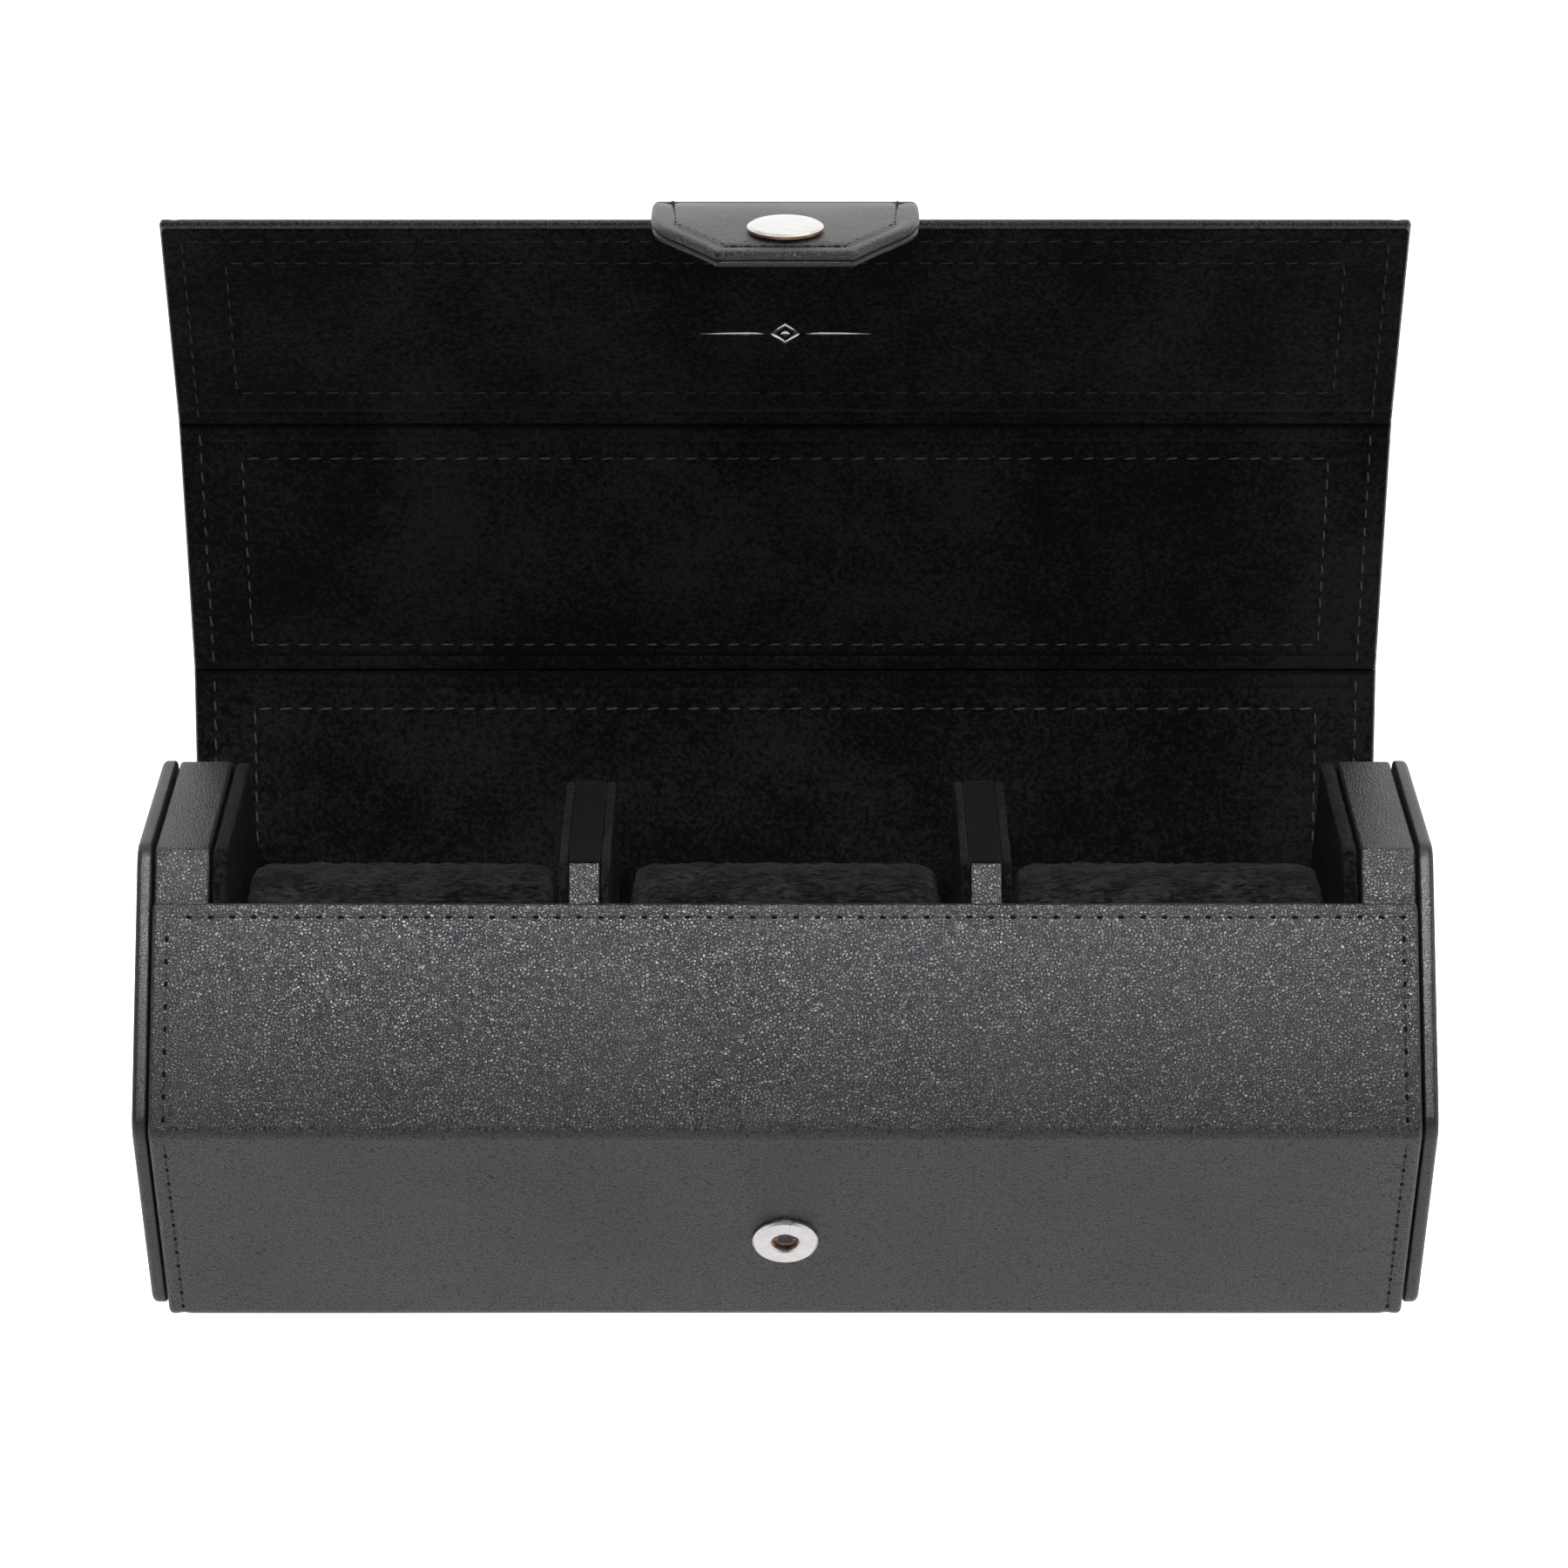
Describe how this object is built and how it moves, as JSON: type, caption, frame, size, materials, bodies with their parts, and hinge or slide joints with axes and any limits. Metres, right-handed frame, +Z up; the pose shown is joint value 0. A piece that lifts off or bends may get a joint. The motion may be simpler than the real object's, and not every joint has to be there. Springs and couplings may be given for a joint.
{
  "type": "watch and jewelry roll box",
  "caption": "Hexagonal roll box in black grained leather, with suede-lined compartments, soft cushions, and a folding lid that wraps over and closes with a snap tab.",
  "frame": {"origin": "middle of the underside, on the table", "axes": "+X along the roll, to the right seen from the front; +Y to the rear, where the lid is hinged; +Z up"},
  "size_m": [0.2074, 0.0991, 0.1806],
  "materials": {
    "leather": "fine pebble-grain black leather, semi-gloss",
    "suede": "short-nap black suede lining, matt",
    "cushion_suede": "longer-nap black suede, matt",
    "board": "grey-brown bookbinding board",
    "block": "fibreboard, stained black",
    "foam": "soft open-cell foam",
    "snap_silver": "nickel plate",
    "snap_brass": "copper-toned brass"
  },
  "bodies": {
    "case": {"bottom_board": "board", "bottom_leather": "leather", "case_lining": "suede", "divider_left_band": "leather", "divider_left_block": "block", "divider_left_suede": "suede", "divider_right_band": "leather", "divider_right_block": "block", "divider_right_suede": "suede", "end_left_band": "leather", "end_left_block": "block", "end_left_disc_board": "board", "end_left_disc_cover": "leather", "end_left_liner": "suede", "end_right_band": "leather", "end_right_block": "block", "end_right_disc_board": "board", "end_right_disc_cover": "leather", "end_right_liner": "suede", "fold_rear": "leather", "front_lower_board": "board", "front_lower_leather": "leather", "front_upper_board": "board", "front_upper_leather": "leather", "rear_lower_board": "board", "rear_lower_leather": "leather", "snap_socket": "snap_silver", "snap_socket_rivet": "snap_brass"},
    "lid_rear": {"lid_rear_leather": "leather", "lid_rear_board": "board", "lid_rear_lining": "suede", "fold_top": "leather"},
    "lid_top": {"lid_top_leather": "leather", "lid_top_board": "board", "lid_top_lining": "suede", "fold_front": "leather"},
    "lid_front": {"lid_front_leather": "leather", "lid_front_board": "board", "lid_front_lining": "suede", "tab_anchor": "leather", "fold_tab": "leather"},
    "tab": {"tab_leather": "leather", "tab_stiffener": "board", "tab_backing": "leather", "snap_cap": "snap_silver", "snap_stud": "snap_brass"},
    "cushion_left": {"cushion_left_ends": "cushion_suede", "cushion_left_foam": "foam", "cushion_left_sleeve": "cushion_suede"},
    "cushion_middle": {"cushion_middle_ends": "cushion_suede", "cushion_middle_foam": "foam", "cushion_middle_sleeve": "cushion_suede"},
    "cushion_right": {"cushion_right_ends": "cushion_suede", "cushion_right_foam": "foam", "cushion_right_sleeve": "cushion_suede"}
  },
  "joints": [
    {"name": "lid_rear_hinge", "type": "hinge", "parent": "case", "child": "lid_rear", "pos_m": [0, 0.04659, 0.0415], "axis": [-1, 0, 0], "range_deg": [-35, 90]},
    {"name": "lid_top_hinge", "type": "hinge", "parent": "lid_rear", "child": "lid_top", "pos_m": [0, 0.05063, 0.08768], "axis": [-1, 0, 0], "range_deg": [-39, 21]},
    {"name": "lid_front_hinge", "type": "hinge", "parent": "lid_top", "child": "lid_front", "pos_m": [0, 0.03714, 0.13475], "axis": [-1, 0, 0], "range_deg": [-47, 13]},
    {"name": "tab_hinge", "type": "hinge", "parent": "lid_front", "child": "tab", "pos_m": [0, 0.01629, 0.17617], "axis": [-1, 0, 0], "range_deg": [0, 90]},
    {"name": "cushion_left_slide", "type": "slide", "parent": "case", "child": "cushion_left", "axis": [0, 0, 1], "range_m": [0, 0.08]},
    {"name": "cushion_middle_slide", "type": "slide", "parent": "case", "child": "cushion_middle", "axis": [0, 0, 1], "range_m": [0, 0.08]},
    {"name": "cushion_right_slide", "type": "slide", "parent": "case", "child": "cushion_right", "axis": [0, 0, 1], "range_m": [0, 0.08]}
  ]
}
